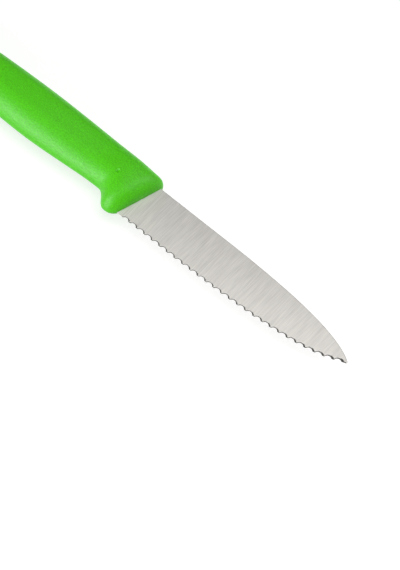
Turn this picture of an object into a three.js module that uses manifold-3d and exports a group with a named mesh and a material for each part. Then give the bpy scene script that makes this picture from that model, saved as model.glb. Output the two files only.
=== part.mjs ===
// Serrated paring knife: a stamped steel blade whose tang is keyed into a handle moulded round it.
// Millimetres, +Z up. The knife is drawn with +X towards the tip, +Y towards the spine and +Z out of the
// side that the wavy edge is ground from. The spine meets the front of the handle at x = 0, y = 0, and the
// middle of the steel is z = 0. At the end the finished knife is set down on its side.

import * as THREE from "three";
import { mergeVertices } from "three/addons/utils/BufferGeometryUtils.js";
import Module from "manifold-3d";

const wasm = await Module();
wasm.setup();

const { clamp, degToRad, lerp } = THREE.MathUtils;

// Blade outline
const BLADE_LENGTH = 80; // from the front of the handle to the tip, along the spine
const BLADE_HEIGHT = 14.7; // from the spine to the teeth at the heel
const TIP_DROP = 6.7; // how far the tip lies below the line of the spine
const TIP_ROUNDING = 0.6; // length of each curve's end that the rounded tip takes up
const SPINE_STRAIGHT = 25; // straight part of the spine in front of the handle
const SPINE_HOLD = 18; // how long the spine's curve holds to that straight line
const SPINE_TIP_ANGLE = 32; // degrees that the spine falls at the tip
const SPINE_TIP_PULL = 11.9; // how long the spine's curve holds to that fall
const EDGE_STRAIGHT = 8; // straight part of the edge in front of the spine's corner
const EDGE_HOLD = 61; // how long the edge's curve holds to that straight line
const EDGE_TIP_ANGLE = 21.5; // degrees that the edge rises at the tip
const EDGE_TIP_PULL = 7.3; // how long the edge's curve holds to that rise

// Blade thickness
const SHEET_THICKNESS = 1.2; // at the spine and in the tang
const EDGE_THICKNESS = 0.5; // at the teeth, before they are ground
const GRIND_OVERLAP = 1.5; // how far the ground faces run on inside the handle at the heel

// Wavy edge
const WAVE_PITCH = 3.035; // one tooth and one hollow
const WAVE_DEPTH = 0.7;
const HOLLOW_SHARE = 0.74; // part of each wave that its hollow takes up, the rest being the tooth
const HOLLOW_STEPS = 8; // straight steps across one hollow
const HEEL_LAND = 1.75; // plain edge between the handle and the first wave
const TIP_LAND = 0.7; // plain edge between the last wave and the tip
const BEVEL_ANGLE = 58; // degrees between the ground walls of the waves and the face of the blade
const BEVEL_SKEW = 37; // degrees that the grinding of those walls leans towards the tip
const BEVEL_START = 0.1; // height of the bevel's foot above the far face at the heel

// Tang
const TANG_LENGTH = 60; // from the front of the handle to the tang's round end
const TANG_HEIGHT = 8;
const TANG_DROP = 5.5; // from the spine to the middle of the tang
const SHOULDER_DEPTH = 3.5; // how far the blade goes into the handle at its full height
const KEY_COUNT = 2; // holes in the tang, each filled by a column of the handle
const KEY_RADIUS = 2;
const MOULD_GAP = 0.15; // between the steel and the handle

// Handle, seen from the side
const HANDLE_LENGTH = 108;
const FRONT_SLANT = 4.32; // how far the front of the handle leans back over the height of the blade
const SLANT_RUN = 30; // length over which the handle's cross sections straighten up
const BACK_FRONT_RISE = 2.05; // back of the handle above the spine, at the front
const BACK_CROWN_RISE = 2.85; // and where it is highest
const BACK_CROWN_AT = 35;
const BACK_BUTT_DROP = 1.4; // back of the handle below the spine, at the butt
const GUARD_DROP = 1.9; // finger guard below the teeth at the heel
const GUARD_AT = 3.9;
const GROOVE_HEIGHT = 14.7; // height of the handle at the finger groove behind the guard
const GROOVE_AT = 12.7;
const GROOVE_SOFTNESS = 2.3; // 2 rounds both ends of the slope into the groove alike, more the groove's
const SWELL_HEIGHT = 16.7; // at the swell in the palm
const SWELL_AT = 47;
const NECK_HEIGHT = 13.6; // at the neck in front of the butt
const NECK_FROM_BUTT = 20;
const BUTT_HEIGHT = 13.8;
const FRONT_CORNER = 2.75; // rounding of the front, seen from the side
const BUTT_CORNER = 5; // rounding of the butt, seen from the side

// Handle, seen from above its back
const FRONT_WIDTH = 11;
const CHEEK_WIDTH = 12; // where the sides behind the front are widest
const CHEEK_AT = 8;
const WAIST_WIDTH = 10.2;
const WAIST_AT = 20;
const SWELL_WIDTH = 12;
const NECK_WIDTH = 10.6;
const BUTT_WIDTH = 11.2;
const FRONT_NOSE = 4.5; // rounding of the front, seen from above
const BUTT_NOSE = 4; // rounding of the butt, seen from above

// Handle cross section
const SIDE_LAND = 3; // flat stretch of each side, which the knife lies on
const LAND_RISE = 1; // how far that flat lies from the middle towards the back
const BACK_SQUARENESS = 2.6; // 2 makes the upper half elliptical, more makes it squarer
const BELLY_SQUARENESS = 1.65; // the same for the lower half
const ARC_STEPS = 16; // points over the back, and as many over the belly
const ROUNDING_RINGS = 5; // cross sections in each rounded end
const BODY_RINGS = 30; // cross sections between the rounded ends
const RING_CROWDING = 1.5; // 1 spreads those evenly, more crowds them towards the guard

// Drawing
const OUTLINE_STEPS = 16; // straight steps in each curve of the steel's outline
const EVEN_SOFTNESS = 2; // rounds both ends of a slope alike
const CUT_MARGIN = 2; // how far every cutting body reaches past what it cuts
const SAME_POINT = 0.00001; // points closer than this are joined

const frontLean = FRONT_SLANT / BLADE_HEIGHT;

// A closed geometry as a solid for cutting and joining.
function solidOf(geometry) {
  geometry.deleteAttribute("normal");
  geometry.deleteAttribute("uv");
  const merged = mergeVertices(geometry, SAME_POINT);
  const mesh = new wasm.Mesh({
    numProp: 3,
    vertProperties: merged.attributes.position.array,
    triVerts: new Uint32Array(merged.index.array),
  });
  return new wasm.Manifold(mesh);
}

// A finished solid as a named mesh with its own material.
function meshOf(name, solid, look) {
  const { vertProperties, triVerts } = solid.getMesh();
  const geometry = new THREE.BufferGeometry();
  geometry.setAttribute("position", new THREE.BufferAttribute(vertProperties, 3));
  geometry.setIndex(new THREE.BufferAttribute(triVerts, 1));
  geometry.computeVertexNormals();
  const mesh = new THREE.Mesh(geometry, new THREE.MeshStandardMaterial(look));
  mesh.name = name;
  return mesh;
}

// A flat outline as a plate of the given thickness, with z = 0 in its middle.
function plate(shape, thickness) {
  const geometry = new THREE.ExtrudeGeometry(shape, {
    depth: thickness,
    bevelEnabled: false,
    curveSegments: OUTLINE_STEPS,
  });
  return geometry.translate(0, 0, -thickness / 2);
}

// The point reached from a start by a length in a direction given in degrees.
function stepFrom(start, degrees, length) {
  const angle = degToRad(degrees);
  return new THREE.Vector2(Math.cos(angle), Math.sin(angle)).multiplyScalar(length).add(start);
}

// The two curves that meet at the tip, each stopping short of it by the tip's rounding.
const tip = new THREE.Vector2(BLADE_LENGTH, -TIP_DROP);
const spineCurve = new THREE.CubicBezierCurve(
  new THREE.Vector2(SPINE_STRAIGHT, 0),
  new THREE.Vector2(SPINE_STRAIGHT + SPINE_HOLD, 0),
  stepFrom(tip, 180 - SPINE_TIP_ANGLE, SPINE_TIP_PULL),
  stepFrom(tip, 180 - SPINE_TIP_ANGLE, TIP_ROUNDING),
);
const edgeCurve = new THREE.CubicBezierCurve(
  new THREE.Vector2(EDGE_STRAIGHT, -BLADE_HEIGHT),
  new THREE.Vector2(EDGE_STRAIGHT + EDGE_HOLD, -BLADE_HEIGHT),
  stepFrom(tip, 180 + EDGE_TIP_ANGLE, EDGE_TIP_PULL),
  stepFrom(tip, 180 + EDGE_TIP_ANGLE, TIP_ROUNDING),
);

// The wavy edge from the heel to the tip: whole waves of equal length along the edge line, each with a round
// hollow that reaches in from the line between two short teeth that lie on it.
function wavyEdge() {
  const line = new THREE.CurvePath();
  const start = new THREE.Vector2(HEEL_LAND - FRONT_SLANT, -BLADE_HEIGHT);
  line.add(new THREE.LineCurve(start, edgeCurve.v0));
  line.add(edgeCurve);
  const length = line.getLength();
  const waves = Math.floor((length - TIP_LAND) / WAVE_PITCH);
  const points = [start];
  for (let wave = 0; wave < waves; wave += 1) {
    const middle = (wave + 0.5) * WAVE_PITCH;
    for (let i = 0; i <= HOLLOW_STEPS; i += 1) {
      const across = (2 * i) / HOLLOW_STEPS - 1;
      const at = (middle + (across * HOLLOW_SHARE * WAVE_PITCH) / 2) / length;
      const along = line.getTangent(at);
      const inward = new THREE.Vector2(-along.y, along.x);
      points.push(line.getPoint(at).addScaledVector(inward, WAVE_DEPTH * (1 - across ** 2)));
    }
  }
  points.push(edgeCurve.v3.clone());
  return points;
}

// Carries an outline from the heel round the shoulders and the tang to the spine. Everything is larger
// by grow than the steel, so the same path draws the steel and the socket that it sits in.
function traceTang(shape, grow) {
  const half = TANG_HEIGHT / 2 + grow;
  const shoulderAt = (y) => frontLean * y - SHOULDER_DEPTH - grow;
  const roundEnd = TANG_HEIGHT / 2 - TANG_LENGTH;
  shape.lineTo(shoulderAt(-BLADE_HEIGHT - grow), -BLADE_HEIGHT - grow);
  shape.lineTo(shoulderAt(-TANG_DROP - half), -TANG_DROP - half);
  shape.absarc(roundEnd, -TANG_DROP, half, -Math.PI / 2, Math.PI / 2, true);
  shape.lineTo(shoulderAt(-TANG_DROP + half), -TANG_DROP + half);
  shape.lineTo(shoulderAt(grow), grow);
  const first = shoulderAt(-TANG_DROP);
  for (let i = 1; i <= KEY_COUNT; i += 1) {
    const hole = new THREE.Path();
    const x = lerp(first, -TANG_LENGTH, i / (KEY_COUNT + 1));
    hole.absarc(x, -TANG_DROP, KEY_RADIUS - grow, 0, 2 * Math.PI);
    shape.holes.push(hole);
  }
}

// What the grinding of one face takes off: all that lies outside the plane that falls from the full sheet
// at the spine to the edge thickness at the teeth.
function grinding(side, grow) {
  const slope = (SHEET_THICKNESS - EDGE_THICKNESS) / 2 / BLADE_HEIGHT;
  const half = (y) => SHEET_THICKNESS / 2 + slope * y + grow;
  const top = CUT_MARGIN;
  const bottom = -BLADE_HEIGHT - CUT_MARGIN;
  const outside = SHEET_THICKNESS / 2 + grow + CUT_MARGIN;
  const section = new THREE.Shape();
  section.moveTo(top, side * half(top));
  section.lineTo(bottom, side * half(bottom));
  section.lineTo(bottom, side * outside);
  section.lineTo(top, side * outside);
  section.closePath();
  const start = -FRONT_SLANT - GRIND_OVERLAP + grow;
  const geometry = new THREE.ExtrudeGeometry(section, {
    depth: BLADE_LENGTH + CUT_MARGIN - start,
    bevelEnabled: false,
  });
  const axes = new THREE.Matrix4().makeBasis(
    new THREE.Vector3(0, 1, 0),
    new THREE.Vector3(0, 0, 1),
    new THREE.Vector3(1, 0, 0),
  );
  return solidOf(geometry.applyMatrix4(axes).translate(start, 0, 0));
}

// A stamped outline of the sheet, ground on both faces.
function groundSheet(shape, grow) {
  const sheet = solidOf(plate(shape, SHEET_THICKNESS + 2 * grow));
  return sheet.subtract(grinding(1, grow)).subtract(grinding(-1, grow));
}

// What the grinding of the waves takes off: the space outside the wavy line, leaning over the blade.
function waveGrinding(waves) {
  const outer = -BLADE_HEIGHT - CUT_MARGIN;
  const past = stepFrom(tip, EDGE_TIP_ANGLE, CUT_MARGIN);
  const shape = new THREE.Shape();
  shape.moveTo(waves[0].x, outer);
  waves.forEach((point) => shape.lineTo(point.x, point.y));
  shape.lineTo(past.x, past.y);
  shape.lineTo(past.x, outer);
  shape.closePath();
  const foot = BEVEL_START - EDGE_THICKNESS / 2;
  const lean = 1 / Math.tan(degToRad(BEVEL_ANGLE));
  const skew = Math.tan(degToRad(BEVEL_SKEW));
  const geometry = plate(shape, SHEET_THICKNESS + CUT_MARGIN);
  geometry.translate(0, 0, -foot);
  geometry.applyMatrix4(new THREE.Matrix4().makeShear(0, 0, 0, 0, skew, lean));
  return solidOf(geometry.translate(0, 0, foot));
}

// The blade and its tang, one piece of steel.
function blade() {
  const waves = wavyEdge();
  const outline = new THREE.Shape();
  outline.moveTo(spineCurve.v0.x, spineCurve.v0.y);
  outline.bezierCurveTo(
    spineCurve.v1.x,
    spineCurve.v1.y,
    spineCurve.v2.x,
    spineCurve.v2.y,
    spineCurve.v3.x,
    spineCurve.v3.y,
  );
  outline.quadraticCurveTo(tip.x, tip.y, edgeCurve.v3.x, edgeCurve.v3.y);
  waves
    .slice(0, -1)
    .reverse()
    .forEach((point) => outline.lineTo(point.x, point.y));
  traceTang(outline, 0);
  outline.closePath();
  return groundSheet(outline, 0).subtract(waveGrinding(waves));
}

// The room for the tang and the rear of the blade inside the handle, open at the front.
function tangSocket() {
  const outline = new THREE.Shape();
  outline.moveTo(CUT_MARGIN, MOULD_GAP);
  outline.lineTo(CUT_MARGIN, -BLADE_HEIGHT - MOULD_GAP);
  traceTang(outline, MOULD_GAP);
  outline.closePath();
  return groundSheet(outline, MOULD_GAP);
}

// From 0 to 1 between two places, level at both.
function ease(distance, from, to, softness) {
  const t = clamp((distance - from) / (to - from), 0, 1);
  return 1 - (1 - t) ** softness * (1 + softness * t);
}

// A line through stations, each a distance behind the front, a value and how softly the slope ends there.
// The line is level at every station.
function easedLine(stations) {
  return (distance) => {
    const last = stations.length - 2;
    const found = stations.findIndex(([at]) => at > distance) - 1;
    const i = found < 0 ? last : Math.min(found, last);
    const [from, start] = stations[i];
    const [to, end, softness = EVEN_SOFTNESS] = stations[i + 1];
    return lerp(start, end, ease(distance, from, to, softness));
  };
}

// The back of the handle: two arches that share their crown.
function backLine(distance) {
  const toFront = distance < BACK_CROWN_AT;
  const end = toFront ? BACK_FRONT_RISE : -BACK_BUTT_DROP;
  const reach = toFront ? BACK_CROWN_AT : HANDLE_LENGTH - BACK_CROWN_AT;
  return lerp(BACK_CROWN_RISE, end, ((distance - BACK_CROWN_AT) / reach) ** 2);
}

const neckAt = HANDLE_LENGTH - NECK_FROM_BUTT;
const guardBottom = -BLADE_HEIGHT - GUARD_DROP;
const bellyLine = easedLine([
  [0, guardBottom],
  [GUARD_AT, guardBottom],
  [GROOVE_AT, backLine(GROOVE_AT) - GROOVE_HEIGHT, GROOVE_SOFTNESS],
  [SWELL_AT, backLine(SWELL_AT) - SWELL_HEIGHT],
  [neckAt, backLine(neckAt) - NECK_HEIGHT],
  [HANDLE_LENGTH, backLine(HANDLE_LENGTH) - BUTT_HEIGHT],
]);
const widthLine = easedLine([
  [0, FRONT_WIDTH],
  [CHEEK_AT, CHEEK_WIDTH],
  [WAIST_AT, WAIST_WIDTH],
  [SWELL_AT, SWELL_WIDTH],
  [neckAt, NECK_WIDTH],
  [HANDLE_LENGTH, BUTT_WIDTH],
]);

// How far a rounded corner draws a face in, at a distance from the end that it rounds.
function drawnIn(radius, distance) {
  const inside = Math.max(radius - distance, 0);
  return radius - Math.sqrt(radius ** 2 - inside ** 2);
}

// One cross section of the handle: an arc over the back and one under the belly, joined by flat sides.
// Near the front it leans with the handle's front face.
function crossSection(distance) {
  const fromButt = HANDLE_LENGTH - distance;
  const back = backLine(distance);
  const belly = bellyLine(distance);
  const fullHeight = (back - belly) / 2;
  const height = fullHeight - drawnIn(FRONT_CORNER, distance) - drawnIn(BUTT_CORNER, fromButt);
  const width = widthLine(distance) / 2 - drawnIn(FRONT_NOSE, distance) - drawnIn(BUTT_NOSE, fromButt);
  const middle = (back + belly) / 2;
  const land = ((SIDE_LAND / 2) * height) / fullHeight;
  const rise = (LAND_RISE * height) / fullHeight;
  const lean = frontLean * (1 - ease(distance, 0, SLANT_RUN, EVEN_SOFTNESS));
  const points = [];
  for (const [side, squareness] of [[1, BACK_SQUARENESS], [-1, BELLY_SQUARENESS]]) {
    const reach = height - side * rise - land;
    for (let i = 0; i <= ARC_STEPS; i += 1) {
      const angle = (i / ARC_STEPS) * Math.PI;
      const up = Math.sin(angle) ** (2 / squareness);
      const out = Math.abs(Math.cos(angle)) ** (2 / squareness) * Math.sign(Math.cos(angle));
      const y = middle + rise + side * (land + reach * up);
      points.push(new THREE.Vector3(lean * y - distance, y, side * width * out));
    }
  }
  return points;
}

// The distances behind the front at which the cross sections stand.
function ringDistances() {
  const distances = [];
  const bodyStart = Math.max(FRONT_NOSE, FRONT_CORNER);
  const bodyEnd = HANDLE_LENGTH - Math.max(BUTT_NOSE, BUTT_CORNER);
  const rounding = (i) => 1 - Math.cos(((i / ROUNDING_RINGS) * Math.PI) / 2);
  for (let i = 0; i < ROUNDING_RINGS; i += 1) {
    distances.push(bodyStart * rounding(i));
  }
  for (let i = 0; i <= BODY_RINGS; i += 1) {
    distances.push(lerp(bodyStart, bodyEnd, (i / BODY_RINGS) ** RING_CROWDING));
  }
  for (let i = ROUNDING_RINGS - 1; i >= 0; i -= 1) {
    distances.push(lerp(HANDLE_LENGTH, bodyEnd, rounding(i)));
  }
  return distances;
}

// The outside of the handle: cross sections joined by bands, with a flat cap on each end.
function handleBody() {
  const rings = ringDistances().map(crossSection);
  const count = rings[0].length;
  const points = rings.flat();
  const faces = [];
  for (let ring = 0; ring + 1 < rings.length; ring += 1) {
    for (let i = 0; i < count; i += 1) {
      const next = (i + 1) % count;
      const a = ring * count + i;
      const b = ring * count + next;
      faces.push(a, b, b + count, a, b + count, a + count);
    }
  }
  const lastRing = (rings.length - 1) * count;
  for (let i = 1; i + 1 < count; i += 1) {
    faces.push(0, i + 1, i);
    faces.push(lastRing, lastRing + i, lastRing + i + 1);
  }
  return solidOf(new THREE.BufferGeometry().setFromPoints(points).setIndex(faces));
}

const drawn = new THREE.Group();
drawn.add(meshOf("blade", blade(), { color: 0xc4c1ba, roughness: 0.38, metalness: 1 }));
drawn.add(
  meshOf("handle", handleBody().subtract(tangSocket()), {
    color: 0x58c234,
    roughness: 0.55,
    metalness: 0,
  }),
);

// Set down on its side, with the middle of its footprint at the origin.
const box = new THREE.Box3().setFromObject(drawn);
const middle = box.getCenter(new THREE.Vector3());
drawn.position.set(-middle.x, -middle.y, -box.min.z);

const knife = new THREE.Group();
knife.add(drawn);

export default knife;
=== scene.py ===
import math

import bmesh
import bpy
from bpy.props import FloatProperty, FloatVectorProperty, IntProperty, PointerProperty
from mathutils import Matrix, Vector


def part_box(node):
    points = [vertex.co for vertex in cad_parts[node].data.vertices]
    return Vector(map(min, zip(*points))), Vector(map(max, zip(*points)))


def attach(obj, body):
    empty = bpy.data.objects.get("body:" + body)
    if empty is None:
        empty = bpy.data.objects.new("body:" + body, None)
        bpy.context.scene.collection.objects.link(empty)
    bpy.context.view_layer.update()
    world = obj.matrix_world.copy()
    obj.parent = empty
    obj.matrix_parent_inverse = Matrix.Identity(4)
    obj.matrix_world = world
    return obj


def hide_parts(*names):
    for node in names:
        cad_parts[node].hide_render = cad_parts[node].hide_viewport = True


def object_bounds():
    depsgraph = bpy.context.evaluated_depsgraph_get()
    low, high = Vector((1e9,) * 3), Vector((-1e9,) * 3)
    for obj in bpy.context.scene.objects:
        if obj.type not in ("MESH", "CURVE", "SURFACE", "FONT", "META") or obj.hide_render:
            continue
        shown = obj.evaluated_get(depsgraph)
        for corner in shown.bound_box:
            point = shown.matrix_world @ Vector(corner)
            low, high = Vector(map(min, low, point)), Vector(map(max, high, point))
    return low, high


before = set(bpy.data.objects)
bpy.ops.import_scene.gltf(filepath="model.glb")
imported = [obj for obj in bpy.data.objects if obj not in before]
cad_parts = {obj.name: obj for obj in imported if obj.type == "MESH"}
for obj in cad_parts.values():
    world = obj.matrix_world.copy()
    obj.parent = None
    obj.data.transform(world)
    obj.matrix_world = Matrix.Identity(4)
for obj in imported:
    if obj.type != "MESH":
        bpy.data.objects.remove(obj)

bl_info = {
    "name": "Serrated paring knife",
    "version": (1, 0, 0),
    "blender": (4, 5, 0),
    "location": "3D View > Sidebar > Knife",
    "description": "Builds the blade and the handle of a small kitchen knife, on a white table",
    "category": "Mesh",
}

cad_low, cad_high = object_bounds()
blade_low, blade_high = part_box("blade")
handle_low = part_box("handle")[0]


# Properties

def millimetres(name, description, default):
    """A length that is set in millimetres and kept in metres."""
    return FloatProperty(
        name=name,
        description=description,
        default=default / 1000,
        min=0,
        precision=5,
        subtype="DISTANCE",
        unit="LENGTH",
    )


def degrees(name, description, default):
    """An angle that is set in degrees and kept in radians."""
    return FloatProperty(
        name=name, description=description, default=math.radians(default), subtype="ANGLE", unit="ROTATION"
    )


def share(name, description, default):
    """A number without a unit."""
    return FloatProperty(name=name, description=description, default=default, min=0)


def count(name, description, default, least):
    """A number of steps or rings."""
    return IntProperty(name=name, description=description, default=default, min=least)


def colour(name, description, default):
    """A colour in linear light."""
    return FloatVectorProperty(
        name=name, description=description, default=default, min=0, max=1, size=3, subtype="COLOR"
    )


class KnifeBladeSizes(bpy.types.PropertyGroup):
    """Sizes of the steel"""

    length: millimetres("Length", "From the front of the handle to the tip, along the spine", 80)
    height: millimetres("Height", "From the spine to the teeth at the heel", 14.7)
    tip_drop: millimetres("Tip drop", "How far the tip lies below the line of the spine", 6.7)
    tip_rounding: millimetres("Tip rounding", "Length of each curve that the rounded tip takes up", 0.6)
    spine_straight: millimetres("Straight spine", "Straight part of the spine in front of the handle", 25)
    spine_hold: millimetres("Spine hold", "How long the spine's curve holds to that straight line", 18)
    spine_tip_angle: degrees("Spine fall", "How steeply the spine falls at the tip", 32)
    spine_tip_pull: millimetres("Spine pull", "How long the spine's curve holds to that fall", 11.9)
    edge_straight: millimetres("Straight edge", "Straight part of the edge in front of the handle", 8)
    edge_hold: millimetres("Edge hold", "How long the edge's curve holds to that straight line", 61)
    edge_tip_angle: degrees("Edge rise", "How steeply the edge rises at the tip", 21.5)
    edge_tip_pull: millimetres("Edge pull", "How long the edge's curve holds to that rise", 7.3)
    sheet: millimetres("Sheet", "Thickness of the steel at the spine", 1.2)
    edge_sheet: millimetres("Edge sheet", "Thickness of the steel at the teeth, before grinding", 0.5)
    wave_pitch: millimetres("Wave pitch", "Length of one wave along the edge", 3.035)
    wave_depth: millimetres("Wave depth", "Depth of each hollow", 0.7)
    hollow_share: share("Hollow share", "Part of each wave that is hollow; the rest is tooth", 0.74)
    hollow_steps: count("Hollow steps", "Steps across one hollow", 20, 4)
    heel_land: millimetres("Heel land", "Plain edge between the handle and the first wave", 1.75)
    tip_land: millimetres("Tip land", "Plain edge between the last wave and the tip", 0.7)
    wall_lean: degrees("Wall lean", "How far the ground walls of the hollows lean towards the tip", 52)
    wall_foot: millimetres("Wall foot", "Height of those walls' foot above the far face", 0.1)
    spine_rounding: millimetres("Spine rounding", "Radius of the edges along the spine", 0.22)
    tang_length: millimetres("Tang length", "From the front of the handle to the tang's round end", 60)
    tang_height: millimetres("Tang height", "Height of the tang inside the handle", 8)
    tang_drop: millimetres("Tang drop", "From the spine to the middle of the tang", 5.5)
    shoulder: millimetres("Shoulder", "How far the blade goes into the handle at its full height", 3.5)


class KnifeHandleSizes(bpy.types.PropertyGroup):
    """Sizes of the moulding"""

    length: millimetres("Length", "From the front of the handle to the butt", 108)
    front_slant: millimetres("Front slant", "How far the front leans back over the blade's height", 4.32)
    slant_run: millimetres("Slant run", "Length over which the cross sections straighten up", 30)
    back_front: millimetres("Back at the front", "Back of the handle above the spine, at the front", 2.05)
    back_crown: millimetres("Back at the crown", "Back of the handle above the spine, at its highest", 2.845)
    crown_at: millimetres("Crown place", "Where the back is highest, behind the front", 35)
    butt_drop: millimetres("Back at the butt", "Back of the handle below the spine, at the butt", 1.4)
    guard_drop: millimetres("Guard drop", "Finger guard below the teeth at the heel", 1.895)
    guard_at: millimetres("Guard place", "Where the finger guard ends, behind the front", 3.9)
    groove_height: millimetres("Groove height", "Height of the handle at the finger groove", 14.7)
    groove_at: millimetres("Groove place", "Where the finger groove is deepest", 12.7)
    groove_softness: share("Groove softness", "2 rounds both ends of the groove's slope alike", 2.3)
    swell_height: millimetres("Swell height", "Height of the handle at the swell in the palm", 16.7)
    swell_at: millimetres("Swell place", "Where the swell in the palm is largest", 47)
    neck_height: millimetres("Neck height", "Height of the handle at the neck in front of the butt", 13.6)
    neck_from_butt: millimetres("Neck place", "Where the neck is, in front of the butt", 20)
    butt_height: millimetres("Butt height", "Height of the handle at the butt", 13.8)
    front_corner: millimetres("Front corner", "Rounding of the front, seen from the side", 2.75)
    butt_corner: millimetres("Butt corner", "Rounding of the butt, seen from the side", 5)
    front_width: millimetres("Front width", "Width of the handle at the front", 11)
    cheek_width: millimetres("Cheek width", "Width where the sides behind the front are widest", 11.99)
    cheek_at: millimetres("Cheek place", "Where the cheeks are widest", 8)
    waist_width: millimetres("Waist width", "Width behind the cheeks", 10.2)
    waist_at: millimetres("Waist place", "Where the waist is narrowest", 20)
    swell_width: millimetres("Swell width", "Width at the swell in the palm", 11.99)
    neck_width: millimetres("Neck width", "Width at the neck", 10.6)
    butt_width: millimetres("Butt width", "Width at the butt", 11.2)
    front_nose: millimetres("Front nose", "Rounding of the front, seen from above", 4.5)
    butt_nose: millimetres("Butt nose", "Rounding of the butt, seen from above", 4)
    side_land: millimetres("Side land", "Flat stretch of each side, on which the knife lies", 3)
    land_rise: millimetres("Land rise", "How far that flat lies from the middle towards the back", 1)
    back_squareness: share("Back squareness", "2 makes the upper half elliptical, more is squarer", 2.6)
    belly_squareness: share("Belly squareness", "The same for the lower half", 1.65)
    mark_at: millimetres("Dimple place", "Middle of the moulded dimple, behind the front", 10.6)
    mark_drop: millimetres("Dimple drop", "Middle of the moulded dimple, below the spine", 6.3)
    mark_width: millimetres("Dimple width", "Width of the moulded dimple", 1.7)
    mark_depth: millimetres("Dimple depth", "Depth of the moulded dimple", 0.5)
    mould_gap: millimetres("Mould gap", "Between the steel and the plastic", 0.05)
    arc_steps: count("Arc steps", "Steps over the back, and as many under the belly", 44, 8)
    rounding_rings: count("Rounding rings", "Rings in each rounded end", 14, 3)
    body_rings: count("Body rings", "Rings between the ends", 110, 8)
    ring_crowding: share("Ring crowding", "1 spreads the rings evenly, more crowds them to the guard", 1.5)


class KnifeFinish(bpy.types.PropertyGroup):
    """Colours and textures"""

    steel: colour("Steel", "Colour of the ground faces", (0.565, 0.548, 0.518))
    steel_pale: colour("Pale streaks", "Colour of the lighter grinding lines", (0.705, 0.684, 0.647))
    # Painted sheen: the faces' colour is scaled from the first value at the spine to the second at the
    # teeth, in place of the reflection that brightens towards the edge.
    spine_painted_sheen: share("Spine shade", "Brightness of the faces at the spine", 0.97)
    edge_painted_sheen: share("Edge shade", "Brightness of the faces at the teeth", 1.14)
    sheen: share("Sheen", "How far the faces' sheen is drawn out along the blade", 0.8)
    line_width: millimetres("Grinding lines", "Width of the grinding lines", 0.17)
    line_length: millimetres("Grinding line length", "Length of the grinding lines", 6)
    line_depth: millimetres("Grinding line depth", "Depth of the grinding lines", 0.02)
    band_shade: share("Band shade", "Brightness of the darker bands across the faces", 0.95)
    band_width: millimetres("Band width", "Width of those bands", 1.2)
    band_length: millimetres("Band length", "Length of those bands", 8)
    # Painted dark: the walls' colour is far darker than steel, standing in for their dark reflections; the
    # pale lines on them are grinding marks.
    steel_wall_painted_dark: colour("Wave walls", "Colour of the ground walls between the teeth", (0.11, 0.107, 0.103))
    wall_pale: share("Pale walls", "How much brighter the pale lines on those walls are", 1.5)
    wall_line_width: millimetres("Wall lines", "Width of the lines on those walls", 0.12)
    wall_line_length: millimetres("Wall line length", "Length of the lines on those walls", 2)
    plastic: colour("Plastic", "Colour of the handle", (0.087, 0.655, 0.0005))
    plastic_deep: colour("Deep plastic", "Colour of the handle's darker flecks", (0.062, 0.465, 0.0003))
    fleck: millimetres("Flecks", "Size of the handle's darker flecks", 0.4)
    grain: millimetres("Grain", "Size of the handle's moulded grain", 0.33)
    grain_depth: millimetres("Grain depth", "Depth of the handle's moulded grain", 0.12)
    gloss: share("Gloss", "Strength of the plastic's reflections", 0.45)


class KnifeStage(bpy.types.PropertyGroup):
    """The table, the lamps and the camera"""

    floor: colour("Floor", "Colour of the table", (0.5, 0.5, 0.5))
    floor_glow: share("Floor glow", "How much the table is lifted towards white where it is seen", 0.62)
    far_glow: share("Far glow", "The same far from the knife, where the lamps fade", 0.93)
    sky: share("Sky", "Strength of the even light from all round", 0.176)
    key_light: share("Key light", "Brightness of the handle's lamp, at the finger guard's side", 19.2)
    back_light: share("Back light", "Brightness of the lamp above, which the blade reflects", 1.28)
    fill_light: share("Fill light", "Brightness of the wide lamp at the spine's side", 0.94)
    low_light: share("Low light", "Brightness of the blade's own lamp, low at the teeth's side", 0.75)
    azimuth: degrees("Azimuth", "Direction that the camera looks from", 42.24)
    elevation: degrees("Elevation", "Height of the camera above the table", 61)
    distance: millimetres("Distance", "From the camera to the knife", 982.7)
    aim_forward: millimetres("Aim forward", "Middle of the picture in front of the handle", 30.7)
    aim_down: millimetres("Aim down", "Middle of the picture below the spine", 16.61)
    focal_length: FloatProperty(
        name="Lens",
        description="Focal length of the camera's lens",
        default=210.5,
        min=1,
        subtype="DISTANCE_CAMERA",
        unit="CAMERA",
    )


# Lines and curves

def lerp(start, end, t):
    return start + (end - start) * t


def ease(x, low, high, softness=2):
    """From 0 to 1, level at both ends; a larger softness rounds the far end more."""
    t = min(max((x - low) / (high - low), 0), 1)
    return 1 - (1 - t) ** softness * (1 + softness * t)


def heading(start, angle, length):
    """The point reached from a start by a length in a direction."""
    return start + length * Vector((math.cos(angle), math.sin(angle)))


def bezier(controls, steps):
    """Points along a cubic curve."""
    a, b, c, d = controls
    points = []
    for i in range(steps + 1):
        t = i / steps
        s = 1 - t
        points.append(s ** 3 * a + 3 * s * s * t * b + 3 * s * t * t * c + t ** 3 * d)
    return points


def along(points):
    """A function that gives the point and the direction at a length along a chain of points."""
    lengths = [0.0]
    for a, b in zip(points, points[1:]):
        lengths.append(lengths[-1] + (b - a).length)

    def at(length):
        i = next((k for k in range(1, len(lengths)) if lengths[k] >= length), len(lengths) - 1)
        a, b = points[i - 1], points[i]
        t = (length - lengths[i - 1]) / (lengths[i] - lengths[i - 1])
        return a.lerp(b, t), (b - a).normalized()

    return at, lengths[-1]


def eased(stations):
    """A line through stations: a distance behind the front, a value and, if need be, a softness."""

    def line(distance):
        for (start, a, *_), (end, b, *softness) in zip(stations, stations[1:]):
            if distance <= end:
                break
        return lerp(a, b, ease(distance, start, end, *softness))

    return line


def drawn_in(radius, distance):
    """How far a rounded corner draws a face in, at a distance from the end that it rounds."""
    inside = max(radius - distance, 0)
    return radius - math.sqrt(radius ** 2 - inside ** 2)


# Meshes

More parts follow.
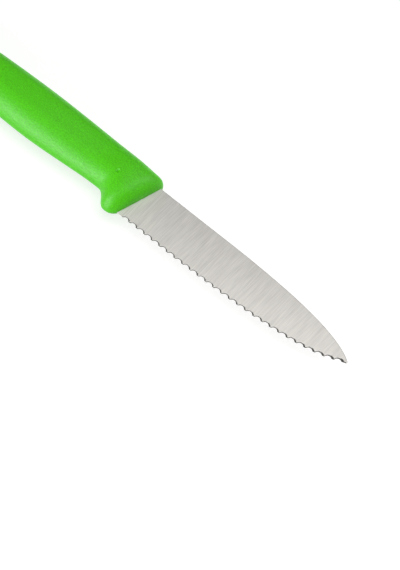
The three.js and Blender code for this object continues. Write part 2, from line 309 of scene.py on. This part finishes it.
# Points closer than this count as one, in metres.
ONE_PLACE = 2e-6
# A corner this close to a straight line counts as straight.
STRAIGHT = math.radians(1)
# How many faces a solid has before its walls.
CAPS = 2


def spine_corner(scene):
    """Where the spine meets the front of the handle, in the middle of the steel."""
    return Vector(
        (
            handle_low.x + scene.knife_handle.length,
            blade_high.y,
            (blade_low.z + blade_high.z) / 2,
        )
    )


def piece(name, mesh_source, *materials):
    """A new object from a bmesh, with its materials."""
    mesh = bpy.data.meshes.new(name)
    mesh_source.to_mesh(mesh)
    mesh_source.free()
    for material in materials:
        mesh.materials.append(material)
    obj = bpy.data.objects.new(name, mesh)
    bpy.context.scene.collection.objects.link(obj)
    return obj


def carve(obj, cutter):
    """Cuts one object out of another, leaves the cutter's material on the cut and removes the cutter."""
    cut = obj.modifiers.new("cut", "BOOLEAN")
    cut.operation = "DIFFERENCE"
    cut.solver = "EXACT"
    cut.material_mode = "TRANSFER"
    cut.object = cutter
    graph = bpy.context.evaluated_depsgraph_get()
    carved = bpy.data.meshes.new_from_object(obj.evaluated_get(graph))
    obj.modifiers.remove(cut)
    plain = obj.data
    obj.data = carved
    bpy.data.meshes.remove(plain)
    bpy.data.objects.remove(cutter)
    if not obj.data.polygons:
        raise RuntimeError(f"nothing is left of {obj.name} after a cut")
    settle(obj.data)


def settle(mesh):
    """Joins points that a cut left almost in one place, and splits the faces with odd corners."""
    bm = bmesh.new()
    bm.from_mesh(mesh)
    bmesh.ops.dissolve_degenerate(bm, edges=bm.edges, dist=ONE_PLACE)
    odd = [face for face in bm.faces if len(face.verts) > 4 or has_straight_corner(face)]
    bmesh.ops.triangulate(bm, faces=odd, quad_method="BEAUTY", ngon_method="BEAUTY")
    bm.to_mesh(mesh)
    bm.free()


def has_straight_corner(face):
    return any(abs(loop.calc_angle() - math.pi) < STRAIGHT for loop in face.loops)


def smooth(obj, angle):
    """Smooth shading, with edges sharper than the angle kept sharp."""
    obj.data.shade_smooth()
    obj.data.set_sharp_from_angle(angle=angle)


def add_solid(bm, lower, upper):
    """Adds a closed solid between a lower and an upper outline of as many points: two caps, then walls."""
    below = [bm.verts.new(p) for p in lower]
    above = [bm.verts.new(p) for p in upper]
    bm.faces.new(above)
    bm.faces.new(list(reversed(below)))
    for i in range(len(below)):
        j = (i + 1) % len(below)
        bm.faces.new((below[i], below[j], above[j], above[i]))


def prism(outline, half):
    """A closed solid that reaches as far up as down, by a function of a point of its outline."""
    bm = bmesh.new()
    add_solid(bm, [(p.x, p.y, -half(p)) for p in outline], [(p.x, p.y, half(p)) for p in outline])
    bmesh.ops.recalc_face_normals(bm, faces=bm.faces)
    return bm


# Blade

CURVE_STEPS = 96
TIP_STEPS = 5
TANG_STEPS = 24
SPINE_STEPS = 4
# The wheel that grinds the hollows' walls is this many times as wide as a hollow.
RUN_OUT = 1.06
# It cuts this much less deep than the hollow, in metres, so that no two faces fall together.
CLEAR = 5e-6
# How far a normal points up or down: more than the first on the faces, less than the second on the walls.
FACE_UP, WALL_UP = 0.9, 0.1
# How far a normal points away from the edge, at least, on the walls along the spine.
SPINE_OUT = 0.1
# The bevel's setting for a round profile.
ROUND = 0.5
# The second of the blade's materials.
WALL_SLOT = 1
BLADE_CREASE = math.radians(30)
# Faces whose normals point further up or down than this are shaded flat.
FLAT = 0.99


def blade_tip(blade):
    """Where the spine and the edge would meet if the tip weren't rounded."""
    return Vector((blade.length, -blade.tip_drop))


def spine_line(blade):
    """The spine's curve, from its straight part to the rounding of the tip."""
    tip = blade_tip(blade)
    back = math.pi - blade.spine_tip_angle
    start = Vector((blade.spine_straight, 0))
    controls = (
        start,
        start + Vector((blade.spine_hold, 0)),
        heading(tip, back, blade.spine_tip_pull),
        heading(tip, back, blade.tip_rounding),
    )
    return bezier(controls, CURVE_STEPS)


def edge_line(blade):
    """The curve that the teeth touch, from its straight part to the rounding of the tip."""
    tip = blade_tip(blade)
    back = math.pi + blade.edge_tip_angle
    start = Vector((blade.edge_straight, -blade.height))
    controls = (
        start,
        start + Vector((blade.edge_hold, 0)),
        heading(tip, back, blade.edge_tip_pull),
        heading(tip, back, blade.tip_rounding),
    )
    return bezier(controls, CURVE_STEPS)


def toothed_line(blade, handle):
    """The line that the teeth touch, from the heel to the rounding of the tip."""
    heel = Vector((blade.heel_land - handle.front_slant, -blade.height))
    return [heel] + edge_line(blade)


def hollows(blade, handle, run_out=1, clear=0):
    """The hollows of the wavy edge, as many as fit; each can run out past its teeth and be less deep."""
    at, length = along(toothed_line(blade, handle))
    waves = []
    for wave in range(math.floor((length - blade.tip_land) / blade.wave_pitch)):
        points = []
        for i in range(blade.hollow_steps + 1):
            across = run_out * (2 * i / blade.hollow_steps - 1)
            point, ahead = at((wave + 0.5 + across * blade.hollow_share / 2) * blade.wave_pitch)
            inward = Vector((-ahead.y, ahead.x))
            points.append(point + (blade.wave_depth * (1 - across ** 2) - clear) * inward)
        waves.append(points)
    return waves


def wavy_edge(blade, handle):
    """The wavy edge from the heel to the rounding of the tip."""
    line = toothed_line(blade, handle)
    points = [line[0]]
    for hollow in hollows(blade, handle):
        points += hollow
    return points + [line[-1]]


def wave_grinding(blade, handle):
    """What the wheel takes out of the hollows' walls: it leans towards the tip, along each hollow."""
    foot = blade.wall_foot - blade.edge_sheet / 2
    bm = bmesh.new()
    for hollow in hollows(blade, handle, RUN_OUT, CLEAR):
        ahead = (hollow[-1] - hollow[0]).normalized()
        outlines = []
        for height in (-blade.sheet, blade.sheet):
            shift = math.tan(blade.wall_lean) * (height - foot) * ahead
            outlines.append([(*(p + shift), height) for p in hollow])
        add_solid(bm, *outlines)
    bmesh.ops.recalc_face_normals(bm, faces=bm.faces)
    return bm


def front_lean(blade, handle):
    """How far the front of the handle leans back, for each unit of height."""
    return handle.front_slant / blade.height


def tang_path(blade, handle, grow):
    """From the heel round the shoulders and the tang to the spine, larger by grow than the steel."""
    lean = front_lean(blade, handle)
    half = blade.tang_height / 2 + grow
    middle = -blade.tang_drop

    def shoulder(y):
        return Vector((lean * y - blade.shoulder - grow, y))

    end = Vector((blade.tang_height / 2 - blade.tang_length, middle))
    points = [shoulder(-blade.height - grow), shoulder(middle - half)]
    for i in range(TANG_STEPS + 1):
        points.append(heading(end, -math.pi / 2 - math.pi * i / TANG_STEPS, half))
    points += [shoulder(middle + half), shoulder(grow)]
    return points


def half_thickness(blade, grow=0):
    """Half the thickness of the ground steel, at a point of its outline."""
    slope = (blade.sheet - blade.edge_sheet) / 2 / blade.height
    return lambda p: blade.sheet / 2 + slope * min(p.y, 0) + grow


def round_spine(sheet, blade):
    """Rounds the edges between the spine and the faces, from inside the handle to the tip."""

    def along_spine(edge):
        faces = sorted(edge.link_faces, key=lambda face: abs(face.normal.z))
        wall, face = faces[0], faces[-1]
        in_front = all(vert.co.x > -2 * blade.shoulder for vert in edge.verts)
        corner = abs(face.normal.z) > FACE_UP and abs(wall.normal.z) < WALL_UP
        return in_front and corner and wall.normal.y > SPINE_OUT

    edges = [edge for edge in sheet.edges if along_spine(edge)]
    bmesh.ops.bevel(
        sheet,
        geom=edges,
        offset=blade.spine_rounding,
        segments=SPINE_STEPS,
        profile=ROUND,
        affect="EDGES",
    )


def make_blade(scene):
    """The blade with its tang, one piece of steel, painted dark on the ground walls of the waves."""
    blade, handle, finish = scene.knife_blade, scene.knife_handle, scene.knife_finish
    waves = wavy_edge(blade, handle)
    spine = spine_line(blade)
    tip = blade_tip(blade)
    rounding = []
    for i in range(1, TIP_STEPS):
        t = i / TIP_STEPS
        rounding.append(lerp(lerp(spine[-1], tip, t), lerp(tip, waves[-1], t), t))
    upper = spine + rounding
    outline = upper + list(reversed(waves)) + tang_path(blade, handle, 0)
    sheet = prism(outline, half_thickness(blade))
    sheet.faces.ensure_lookup_table()
    first_wall = CAPS + len(upper)
    for wall in sheet.faces[first_wall:first_wall + len(waves) - 1]:
        wall.material_index = WALL_SLOT
    round_spine(sheet, blade)
    # The walls' material is painted dark in place of their dark reflections.
    walls = wave_steel_painted_dark(finish)
    steel = piece("knife_blade", sheet, ground_steel(finish), walls)
    carve(steel, piece("wave_grinding", wave_grinding(blade, handle), walls))
    return steel


# Handle

# How far what cuts the socket stands out of the handle, in metres.
CUT_MARGIN = 0.002
BALL_STEPS = 96
HANDLE_CREASE = math.radians(40)


def handle_lines(blade, handle):
    """The back, the belly and the width of the handle as functions of the distance behind the front."""

    def back(d):
        to_front = d < handle.crown_at
        end = handle.back_front if to_front else -handle.butt_drop
        reach = handle.crown_at if to_front else handle.length - handle.crown_at
        return lerp(handle.back_crown, end, ((d - handle.crown_at) / reach) ** 2)

    neck = handle.length - handle.neck_from_butt
    guard = -blade.height - handle.guard_drop
    belly = eased(
        [
            (0, guard),
            (handle.guard_at, guard),
            (handle.groove_at, back(handle.groove_at) - handle.groove_height, handle.groove_softness),
            (handle.swell_at, back(handle.swell_at) - handle.swell_height),
            (neck, back(neck) - handle.neck_height),
            (handle.length, back(handle.length) - handle.butt_height),
        ]
    )
    width = eased(
        [
            (0, handle.front_width),
            (handle.cheek_at, handle.cheek_width),
            (handle.waist_at, handle.waist_width),
            (handle.swell_at, handle.swell_width),
            (neck, handle.neck_width),
            (handle.length, handle.butt_width),
        ]
    )
    return back, belly, width


def ring_distances(handle):
    """The distances behind the front at which the rings stand."""
    start = max(handle.front_nose, handle.front_corner)
    end = handle.length - max(handle.butt_nose, handle.butt_corner)

    def rounding(i):
        return 1 - math.cos(i / handle.rounding_rings * math.pi / 2)

    front = [start * rounding(i) for i in range(handle.rounding_rings)]
    body = [
        lerp(start, end, (i / handle.body_rings) ** handle.ring_crowding)
        for i in range(handle.body_rings + 1)
    ]
    butt = [lerp(handle.length, end, rounding(i)) for i in reversed(range(handle.rounding_rings))]
    return front + body + butt


def lean_at(blade, handle, d):
    """How much the cross section leans, full at the front and upright past the slant's run."""
    return front_lean(blade, handle) * (1 - ease(d, 0, handle.slant_run))


def handle_ring(blade, handle, lines, d):
    """One ring of the handle: an arc over the back and one under the belly, joined by flat sides."""
    back_line, belly_line, width_line = lines
    back, belly = back_line(d), belly_line(d)
    from_butt = handle.length - d
    full = (back - belly) / 2
    height = full - drawn_in(handle.front_corner, d) - drawn_in(handle.butt_corner, from_butt)
    width = width_line(d) / 2 - drawn_in(handle.front_nose, d) - drawn_in(handle.butt_nose, from_butt)
    middle = (back + belly) / 2
    land = handle.side_land / 2 * height / full
    rise = handle.land_rise * height / full
    lean = lean_at(blade, handle, d)
    points = []
    for side, squareness in ((1, handle.back_squareness), (-1, handle.belly_squareness)):
        for i in range(handle.arc_steps + 1):
            angle = i / handle.arc_steps * math.pi
            up = math.sin(angle) ** (2 / squareness)
            out = math.copysign(abs(math.cos(angle)) ** (2 / squareness), math.cos(angle))
            reach = height - side * rise - land
            y = middle + rise + side * (land + reach * up)
            points.append(Vector((lean * y - d, y, side * width * out)))
    return points


def make_handle(scene):
    """The handle with the room for the tang inside it."""
    blade, handle = scene.knife_blade, scene.knife_handle
    plastic = moulded_plastic(scene.knife_finish)
    lines = handle_lines(blade, handle)
    bm = bmesh.new()
    rings = [
        [bm.verts.new(p) for p in handle_ring(blade, handle, lines, d)] for d in ring_distances(handle)
    ]
    for ring, following in zip(rings, rings[1:]):
        for i in range(len(ring)):
            j = (i + 1) % len(ring)
            bm.faces.new((ring[i], ring[j], following[j], following[i]))
    bm.faces.new(rings[0])
    bm.faces.new(rings[-1])
    bmesh.ops.recalc_face_normals(bm, faces=bm.faces)
    body = piece("knife_handle", bm, plastic)

    gap = handle.mould_gap
    mouth = [Vector((CUT_MARGIN, gap)), Vector((CUT_MARGIN, -blade.height - gap))]
    socket = prism(mouth + tang_path(blade, handle, gap), half_thickness(blade, gap))
    carve(body, piece("tang_socket", socket, plastic))
    carve(body, piece("dimple_cutter", dimple(blade, handle, lines), plastic))
    return body


def dimple(blade, handle, lines):
    """A ball that reaches into the upper side by the depth of the moulded dimple."""
    radius = (handle.mark_width ** 2 / 4 + handle.mark_depth ** 2) / (2 * handle.mark_depth)
    d, y = handle.mark_at, -handle.mark_drop
    width_line = lines[-1]
    surface = width_line(d) / 2
    ball = bmesh.new()
    bmesh.ops.create_uvsphere(ball, u_segments=BALL_STEPS, v_segments=BALL_STEPS, radius=radius)
    place = Vector((lean_at(blade, handle, d) * y - d, y, surface + radius - handle.mark_depth))
    bmesh.ops.translate(ball, verts=ball.verts, vec=place)
    return ball


# Materials

WHITE = (1, 1, 1, 1)
GRAIN_LAYER = "grain"
# The part of a noise's range that holds most of it, and the parts in which the steel's lines turn pale.
NOISE_RANGE = (0.3, 0.7)
LINE_RANGE = (0.32, 0.68)
WALL_RANGE = (0.3, 0.8)
NOISE_DETAIL = 3.0
BAND_DETAIL = 2.0
# Size of the faces' texture through the sheet in metres, far more than its thickness.
THROUGH = 0.01
# How much of the grinding lines' slope shows.
LINE_STRENGTH = 0.2
FACE_ROUGHNESS = (0.36, 0.44)
WALL_ROUGHNESS = (0.35, 0.5)
PLASTIC_ROUGHNESS = (0.34, 0.46)
TABLE_ROUGHNESS = 0.9
# Distances from the middle of the table between which its glow rises, in metres.
GLOW_NEAR, GLOW_FAR = 0.3, 1.2


class Nodes:
    """Builds a material's node tree, one call for each node."""

    def __init__(self, name):
        self.material = bpy.data.materials.get(name) or bpy.data.materials.new(name)
        self.material.use_nodes = True
        self.tree = self.material.node_tree
        self.tree.nodes.clear()

    def add(self, kind, *values, settings=None, **inputs):
        """A node with its settings. Its inputs, in order or by name, take values or other outputs."""
        node = self.tree.nodes.new(kind)
        for key, value in (settings or {}).items():
            setattr(node, key, value)
        by_name = [(node.inputs[key.replace("_", " ")], value) for key, value in inputs.items()]
        for socket, value in [*zip(node.inputs, values), *by_name]:
            if isinstance(value, bpy.types.NodeSocket):
                self.tree.links.new(value, socket)
            else:
                socket.default_value = value
        return node

    def place(self):
        """The place on the piece, in metres."""
        return self.add("ShaderNodeTexCoord").outputs["Object"]

    def calculate(self, operation, *values):
        """The result of one operation on two values."""
        return self.add("ShaderNodeMath", *values, settings={"operation": operation}).outputs[0]

    def surface(self, shader):
        """Puts the shader on the material's surface, and gives the finished material."""
        self.add("ShaderNodeOutputMaterial", Surface=shader.outputs[0])
        return self.material


def rgba(colour_value):
    return (*colour_value, 1)


def two_tone(nodes, factor, low, high, span=NOISE_RANGE):
    """A colour that goes from low to high over a span of a noise's range."""
    node = nodes.add("ShaderNodeValToRGB", Fac=factor)
    for stop, place, tone in zip(node.color_ramp.elements, span, (low, high)):
        stop.position = place
        stop.color = rgba(tone)
    return node.outputs["Color"]


def spread(nodes, factor, low, high):
    """Maps a noise's middle range to a low and a high value."""
    start, end = NOISE_RANGE
    node = nodes.add(
        "ShaderNodeMapRange", Value=factor, From_Min=start, From_Max=end, To_Min=low, To_Max=high
    )
    return node.outputs["Result"]


def stretched_noise(nodes, place, size, detail=NOISE_DETAIL):
    """Noise whose features have the given size in metres along x, y and z."""
    mapping = nodes.add("ShaderNodeMapping", Vector=place, Scale=tuple(1 / s for s in size))
    noise = nodes.add("ShaderNodeTexNoise", Vector=mapping.outputs["Vector"], Scale=1.0, Detail=detail)
    return noise.outputs["Fac"]


def lay_grain(steel):
    """A texture layer whose first direction runs along the blade, for the finish to follow."""
    layer = steel.data.uv_layers.new(name=GRAIN_LAYER)
    for loop in steel.data.loops:
        place = steel.data.vertices[loop.vertex_index].co
        layer.data[loop.index].uv = (place.x, place.y + place.z)


def ground_steel(finish):
    """Stainless steel with fine grinding lines from the spine to the edge, and a painted sheen that
    brightens it towards the teeth.
    """
    nodes = Nodes("ground_steel")
    place = nodes.place()
    lines = stretched_noise(nodes, place, (finish.line_width, finish.line_length, THROUGH))
    bands = stretched_noise(nodes, place, (finish.band_width, finish.band_length, THROUGH), BAND_DETAIL)
    streaks = two_tone(nodes, lines, finish.steel, finish.steel_pale, LINE_RANGE)
    # Painted sheen: the colour grows brighter from the spine to the teeth, standing in for a brighter
    # reflection towards the edge.
    painted_sheen = nodes.add(
        "ShaderNodeMapRange",
        Value=nodes.add("ShaderNodeSeparateXYZ", Vector=place).outputs["Y"],
        From_Min=blade_high.y,
        From_Max=blade_low.y,
        To_Min=finish.spine_painted_sheen,
        To_Max=finish.edge_painted_sheen,
    )
    banding = spread(nodes, bands, finish.band_shade, 1.0)
    shade = nodes.calculate("MULTIPLY", banding, painted_sheen.outputs["Result"])
    tint = nodes.add("ShaderNodeVectorMath", streaks, settings={"operation": "SCALE"}, Scale=shade)
    bump = nodes.add("ShaderNodeBump", Strength=LINE_STRENGTH, Distance=finish.line_depth, Height=lines)
    tangent = nodes.add("ShaderNodeTangent", settings={"direction_type": "UV_MAP", "uv_map": GRAIN_LAYER})
    shader = nodes.add(
        "ShaderNodeBsdfPrincipled",
        Base_Color=tint.outputs[0],
        Metallic=1.0,
        Roughness=spread(nodes, lines, *FACE_ROUGHNESS),
        Anisotropic=finish.sheen,
        Tangent=tangent.outputs["Tangent"],
        Normal=bump.outputs["Normal"],
    )
    return nodes.surface(shader)


def wave_steel_painted_dark(finish):
    """The walls that the grinding wheel left between the teeth, painted far darker than the faces in place
    of the dark reflections that they show.
    """
    nodes = Nodes("wave_steel_painted_dark")
    size = (finish.wall_line_width, finish.wall_line_length, finish.wall_line_length)
    lines = stretched_noise(nodes, nodes.place(), size)
    pale = [finish.wall_pale * channel for channel in finish.steel_wall_painted_dark]
    shader = nodes.add(
        "ShaderNodeBsdfPrincipled",
        Base_Color=two_tone(nodes, lines, finish.steel_wall_painted_dark, pale, WALL_RANGE),
        Metallic=1.0,
        Roughness=spread(nodes, lines, *WALL_ROUGHNESS),
    )
    return nodes.surface(shader)


def moulded_plastic(finish):
    """Green plastic with the fine grain of its mould."""
    nodes = Nodes("moulded_plastic")
    place = nodes.place()
    grain = stretched_noise(nodes, place, (finish.grain,) * 3)
    flecks = stretched_noise(nodes, place, (finish.fleck,) * 3)
    bump = nodes.add("ShaderNodeBump", Strength=1.0, Distance=finish.grain_depth, Height=grain)
    shader = nodes.add(
        "ShaderNodeBsdfPrincipled",
        Base_Color=two_tone(nodes, flecks, finish.plastic_deep, finish.plastic),
        Roughness=spread(nodes, grain, *PLASTIC_ROUGHNESS),
        Specular_IOR_Level=finish.gloss,
        Normal=bump.outputs["Normal"],
    )
    return nodes.surface(shader)


def table_white(stage):
    """A pale table that keeps shadows, lifted to white where the camera or a reflection sees it.

    Far from the knife, where the lamps fade, it is lifted more. From below it can be seen through.
    """
    nodes = Nodes("table_white")
    away = nodes.add("ShaderNodeVectorMath", nodes.place(), settings={"operation": "LENGTH"})
    lift = nodes.add(
        "ShaderNodeMapRange",
        settings={"interpolation_type": "SMOOTHSTEP"},
        Value=away.outputs["Value"],
        From_Min=GLOW_NEAR,
        From_Max=GLOW_FAR,
        To_Min=stage.floor_glow,
        To_Max=stage.far_glow,
    )
    path = nodes.add("ShaderNodeLightPath").outputs
    seen = nodes.calculate("MAXIMUM", path["Is Camera Ray"], path["Is Glossy Ray"])
    seen = nodes.calculate("MAXIMUM", seen, path["Is Transmission Ray"])
    top = nodes.add(
        "ShaderNodeBsdfPrincipled",
        Base_Color=rgba(stage.floor),
        Roughness=TABLE_ROUGHNESS,
        Specular_IOR_Level=0.0,
        Emission_Color=WHITE,
        Emission_Strength=nodes.calculate("MULTIPLY", seen, lift.outputs["Result"]),
    )
    clear = nodes.add("ShaderNodeBsdfTransparent")
    below = nodes.add("ShaderNodeNewGeometry").outputs["Backfacing"]
    return nodes.surface(nodes.add("ShaderNodeMixShader", below, top.outputs[0], clear.outputs[0]))


# Stage

TABLE_REACH = 6.0
# Where the lamps stand: directions in degrees, lengths in metres. A choosy lamp lights only some things.
LAMPS = {
    "key": {"azimuth": -25, "elevation": 23, "distance": 0.8, "size": 0.29, "choosy": True},
    "back": {"azimuth": 150, "elevation": 78, "distance": 0.32, "size": 0.29, "choosy": False},
    "fill": {"azimuth": 140, "elevation": 42, "distance": 0.8, "size": 0.85, "choosy": False},
    "low": {"azimuth": 25, "elevation": 22, "distance": 0.8, "size": 0.85, "choosy": True},
}


def aim_point(scene):
    """The point in the middle of the picture."""
    stage = scene.knife_stage
    face = scene.knife_blade.sheet / 2
    return spine_corner(scene) + Vector((stage.aim_forward, -stage.aim_down, face))


def make_table(scene):
    """The table under the knife, in the key lamp's light."""
    bm = bmesh.new()
    bmesh.ops.create_grid(bm, x_segments=2, y_segments=2, size=TABLE_REACH)
    table = piece("table", bm, table_white(scene.knife_stage))
    table.location.z = cad_low.z
    lit_by("key").objects.link(table)


def make_sky(scene):
    """Even light from all round."""
    world = bpy.data.worlds.new("studio")
    scene.world = world
    world.use_nodes = True
    tree = world.node_tree
    tree.nodes.clear()
    sky = tree.nodes.new("ShaderNodeBackground")
    sky.inputs["Color"].default_value = WHITE
    sky.inputs["Strength"].default_value = scene.knife_stage.sky
    out = tree.nodes.new("ShaderNodeOutputWorld")
    tree.links.new(sky.outputs[0], out.inputs["Surface"])


def lit_by(lamp):
    """The collection of the things that a choosy lamp lights."""
    name = f"lit_by_{lamp}_lamp"
    return bpy.data.collections.get(name) or bpy.data.collections.new(name)


def make_lamp(scene, name, azimuth, elevation, distance, size, choosy):
    """A square lamp that looks at the knife; its brightness is a property of the stage."""
    lamp = bpy.data.lights.new(f"{name}_lamp", "AREA")
    lamp.shape = "SQUARE"
    lamp.size = size
    lamp.energy = getattr(scene.knife_stage, f"{name}_light") * math.pi * size ** 2
    obj = bpy.data.objects.new(lamp.name, lamp)
    scene.collection.objects.link(obj)
    place_towards(obj, aim_point(scene), math.radians(azimuth), math.radians(elevation), distance)
    obj.visible_camera = False
    if choosy:
        obj.light_linking.receiver_collection = lit_by(name)


def place_towards(obj, target, azimuth, elevation, distance):
    """Puts an object at a distance from a target, looking at it."""
    level = math.cos(elevation)
    away = Vector((math.sin(azimuth) * level, -math.cos(azimuth) * level, math.sin(elevation)))
    obj.location = target + distance * away
    obj.rotation_mode = "QUATERNION"
    obj.rotation_quaternion = (-away).to_track_quat("-Z", "Y")


def make_camera(scene):
    """The camera that looks at the knife."""
    stage = scene.knife_stage
    lens = bpy.data.cameras.new("camera")
    lens.lens = stage.focal_length
    camera = bpy.data.objects.new("camera", lens)
    scene.collection.objects.link(camera)
    place_towards(camera, aim_point(scene), stage.azimuth, stage.elevation, stage.distance)
    scene.camera = camera


# Operators

class KNIFE_OT_stage(bpy.types.Operator):
    """Make the table, the lamps and the camera"""

    bl_idname = "knife.stage"
    bl_label = "Stage"

    def execute(self, context):
        scene = context.scene
        scene.view_settings.view_transform = "Standard"
        make_table(scene)
        make_sky(scene)
        for name, place in LAMPS.items():
            make_lamp(scene, name, **place)
        make_camera(scene)
        return {"FINISHED"}


class KNIFE_OT_blade(bpy.types.Operator):
    """Make the steel blade and its tang"""

    bl_idname = "knife.blade"
    bl_label = "Blade"

    def execute(self, context):
        scene = context.scene
        steel = make_blade(scene)
        steel.data.transform(Matrix.Translation(spine_corner(scene)))
        lay_grain(steel)
        smooth(steel, BLADE_CREASE)
        for face in steel.data.polygons:
            face.use_smooth = abs(face.normal.z) < FLAT
        lit_by("low").objects.link(steel)
        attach(steel, "root")
        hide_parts("blade")
        return {"FINISHED"}


class KNIFE_OT_handle(bpy.types.Operator):
    """Make the moulded handle"""

    bl_idname = "knife.handle"
    bl_label = "Handle"

    def execute(self, context):
        scene = context.scene
        body = make_handle(scene)
        body.data.transform(Matrix.Translation(spine_corner(scene)))
        smooth(body, HANDLE_CREASE)
        lit_by("key").objects.link(body)
        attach(body, "root")
        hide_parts("handle")
        return {"FINISHED"}


class KNIFE_PT_sidebar(bpy.types.Panel):
    """Lists the steps that build the knife, and its sizes and finishes"""

    bl_idname = "KNIFE_PT_sidebar"
    bl_label = "Paring knife"
    bl_space_type = "VIEW_3D"
    bl_region_type = "UI"
    bl_category = "Knife"

    def draw(self, context):
        for step in STEPS:
            self.layout.operator(step.bl_idname)
        for name, group in GROUPS.items():
            box = self.layout.box()
            box.label(text=group.__doc__)
            for value in group.__annotations__:
                box.prop(getattr(context.scene, name), value)


STEPS = (KNIFE_OT_stage, KNIFE_OT_blade, KNIFE_OT_handle)
GROUPS = {
    "knife_blade": KnifeBladeSizes,
    "knife_handle": KnifeHandleSizes,
    "knife_finish": KnifeFinish,
    "knife_stage": KnifeStage,
}


def register():
    for cls in (*GROUPS.values(), *STEPS, KNIFE_PT_sidebar):
        bpy.utils.register_class(cls)
    for name, cls in GROUPS.items():
        setattr(bpy.types.Scene, name, PointerProperty(type=cls))


def unregister():
    for name in GROUPS:
        delattr(bpy.types.Scene, name)
    for cls in (KNIFE_PT_sidebar, *STEPS, *GROUPS.values()):
        bpy.utils.unregister_class(cls)


def main():
    register()
    bpy.ops.knife.stage()
    bpy.ops.knife.blade()
    bpy.ops.knife.handle()


if __name__ == "__main__":
    main()
